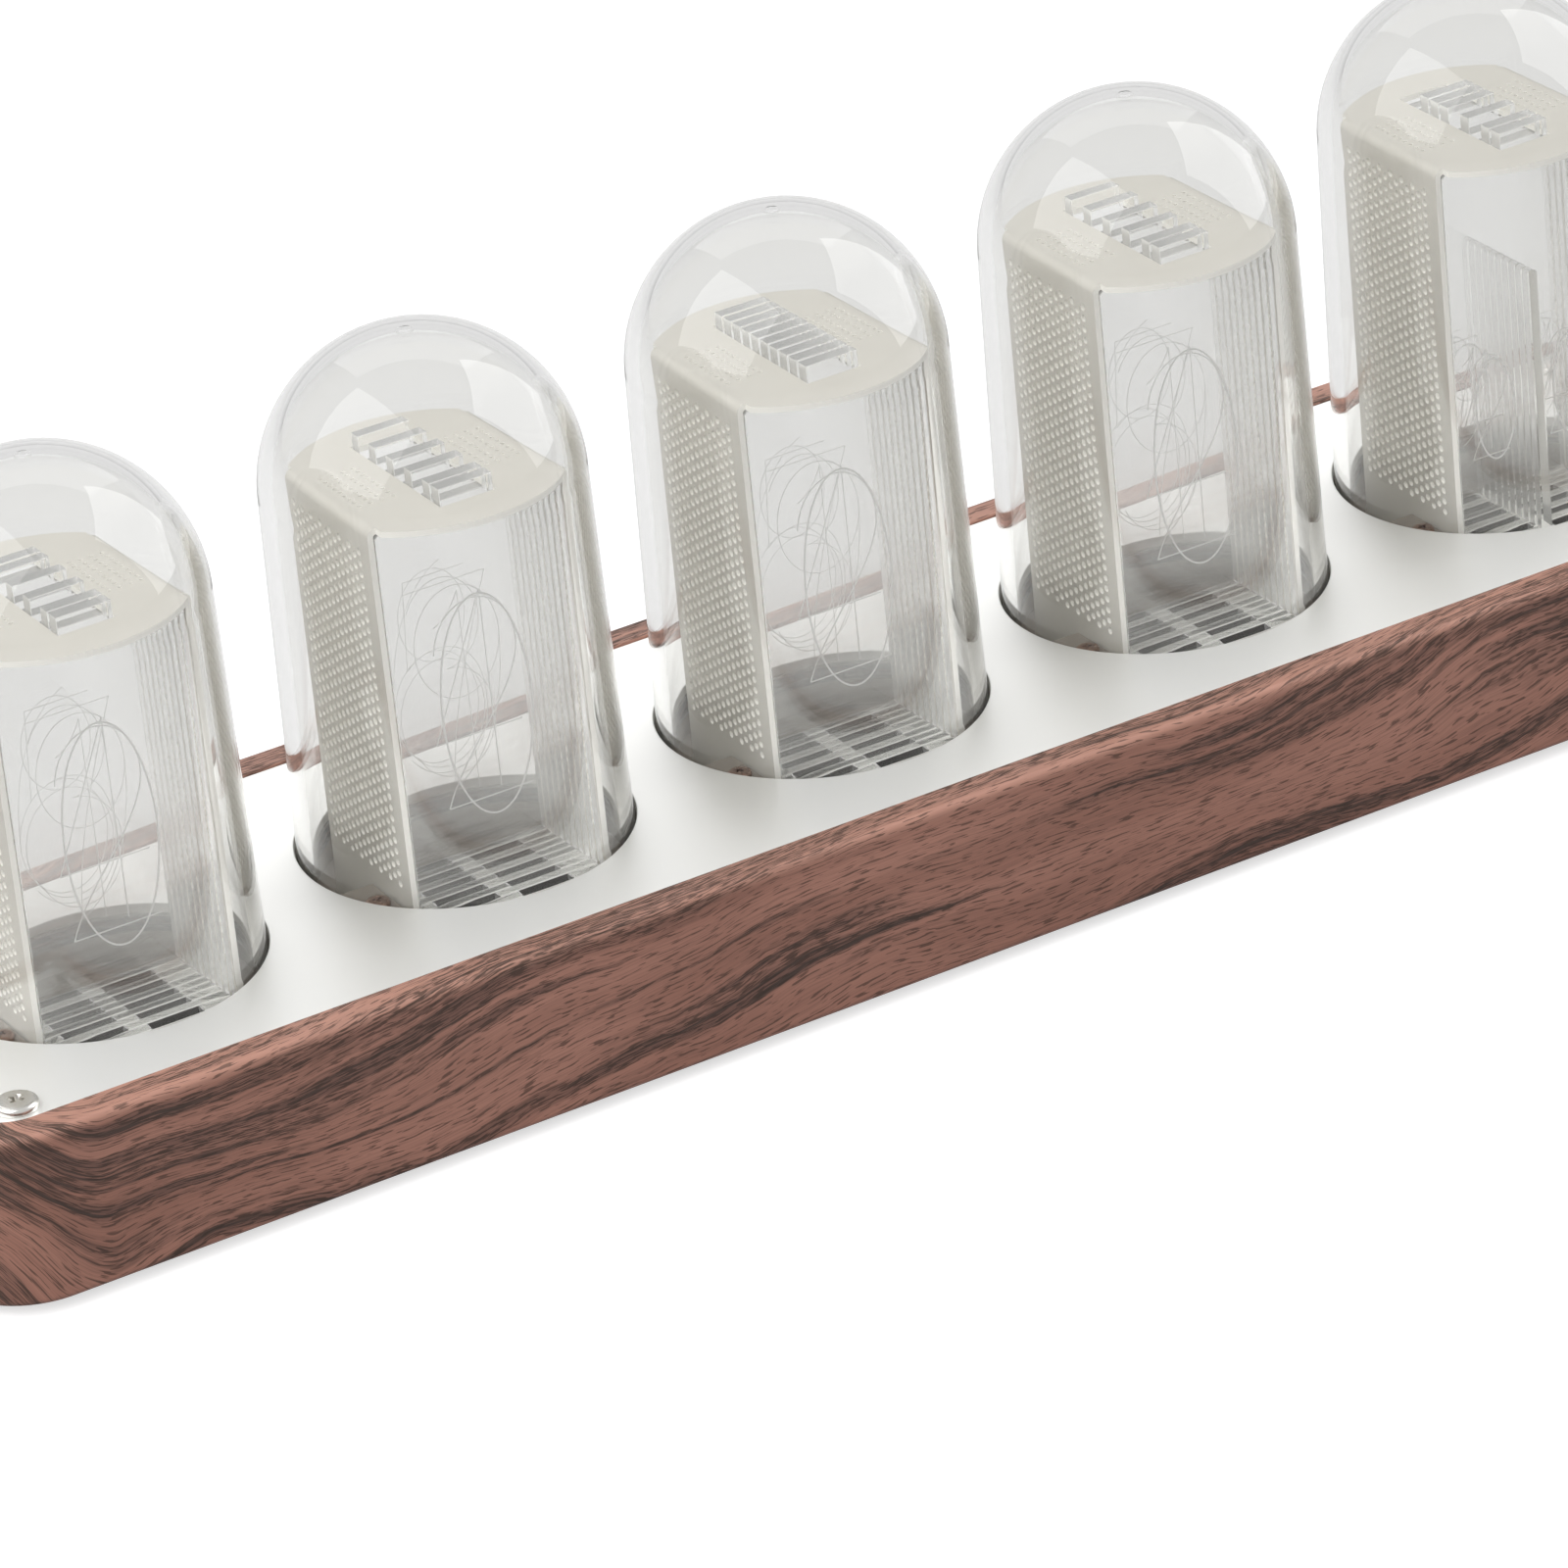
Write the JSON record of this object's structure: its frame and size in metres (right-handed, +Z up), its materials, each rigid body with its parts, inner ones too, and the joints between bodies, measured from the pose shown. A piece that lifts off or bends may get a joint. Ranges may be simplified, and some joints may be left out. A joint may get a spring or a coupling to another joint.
{
  "type": "nixie tube clock",
  "caption": "Desk clock: a wooden case with an aluminium top carries a row of glass domes, each over a mesh shroud and a stack of clear engraved digit plates lit from below.",
  "frame": {"origin": "on the surface that the clock stands on, under the middle of the case", "axes": "+X to the right as seen from the front, +Y to the back, +Z up"},
  "size_m": [0.296, 0.076, 0.0974],
  "materials": {
    "case_wood": "open-pored walnut veneer, satin",
    "plate_aluminium": "bead-blasted, matt",
    "screw_steel": "polished pan head",
    "insert_brass": "turned",
    "dome_glass": "clear, polished",
    "shroud_metal": "warm grey, matt",
    "plate_acrylic": "clear acrylic, polished, laser-cut edges",
    "guide_white": "white, smooth",
    "socket_plastic": "moulded, warm grey",
    "screw_copper": "coppered steel",
    "gasket_rubber": "smooth",
    "led_package": "resin over a white package",
    "board_laminate": "green solder mask",
    "chip_plastic": "moulded epoxy",
    "can_metal": "nickel-plated can",
    "capacitor_ceramic": "fired ceramic",
    "holder_plastic": "moulded",
    "link_plastic": "white flat cable",
    "cover_black": "black powder coat",
    "foot_rubber": "matt",
    "panel_black": "black, matt",
    "switch_plastic": "moulded",
    "button_plastic": "satin",
    "plunger_plastic": "moulded"
  },
  "bodies": {
    "clock": {"wood_frame": "case_wood", "top_plate": "plate_aluminium", "top_plate_screws": "screw_steel", "frame_inserts": "insert_brass", "glass_dome_1": "dome_glass", "glass_dome_2": "dome_glass", "glass_dome_3": "dome_glass", "glass_dome_4": "dome_glass", "glass_dome_5": "dome_glass", "mesh_shroud_1": "shroud_metal", "mesh_shroud_2": "shroud_metal", "mesh_shroud_3": "shroud_metal", "mesh_shroud_4": "shroud_metal", "mesh_shroud_5": "shroud_metal", "digit_plates_1": "plate_acrylic", "digit_plates_2": "plate_acrylic", "digit_plates_3": "plate_acrylic", "digit_plates_4": "plate_acrylic", "digit_plates_5": "plate_acrylic", "light_guide_1": "guide_white", "light_guide_2": "guide_white", "light_guide_3": "guide_white", "light_guide_4": "guide_white", "light_guide_5": "guide_white", "tube_socket_1": "socket_plastic", "tube_socket_2": "socket_plastic", "tube_socket_3": "socket_plastic", "tube_socket_4": "socket_plastic", "tube_socket_5": "socket_plastic", "socket_screws": "screw_copper", "dome_gaskets": "gasket_rubber", "led_packages": "led_package", "main_pcb": "board_laminate", "pcb_screws": "screw_steel", "pcb_standoffs": "insert_brass", "microcontroller": "chip_plastic", "clock_chip": "chip_plastic", "clock_crystal": "can_metal", "voltage_regulator": "chip_plastic", "power_capacitors": "can_metal", "chip_capacitors": "capacitor_ceramic", "coin_cell_holder": "holder_plastic", "coin_cell": "can_metal", "buzzer": "holder_plastic", "board_link": "link_plastic", "base_cover": "cover_black", "base_screws": "screw_steel", "rubber_feet": "foot_rubber", "rear_panel": "panel_black", "rear_panel_screws": "screw_steel", "rear_board": "board_laminate", "rear_board_screws": "screw_steel", "usb_c_port": "can_metal", "tact_switches": "switch_plastic"},
    "mode_key": {"mode_button": "button_plastic", "mode_plunger": "plunger_plastic"},
    "up_key": {"up_button": "button_plastic", "up_plunger": "plunger_plastic"},
    "down_key": {"down_button": "button_plastic", "down_plunger": "plunger_plastic"}
  },
  "joints": [
    {"name": "mode_press", "type": "slide", "parent": "clock", "child": "mode_key", "axis": [0, -1, 0], "range_m": [0, 0.0005], "stiffness_N_per_m": 300, "springref_m": -0.001},
    {"name": "up_press", "type": "slide", "parent": "clock", "child": "up_key", "axis": [0, -1, 0], "range_m": [0, 0.0005], "stiffness_N_per_m": 300, "springref_m": -0.001},
    {"name": "down_press", "type": "slide", "parent": "clock", "child": "down_key", "axis": [0, -1, 0], "range_m": [0, 0.0005], "stiffness_N_per_m": 300, "springref_m": -0.001}
  ]
}
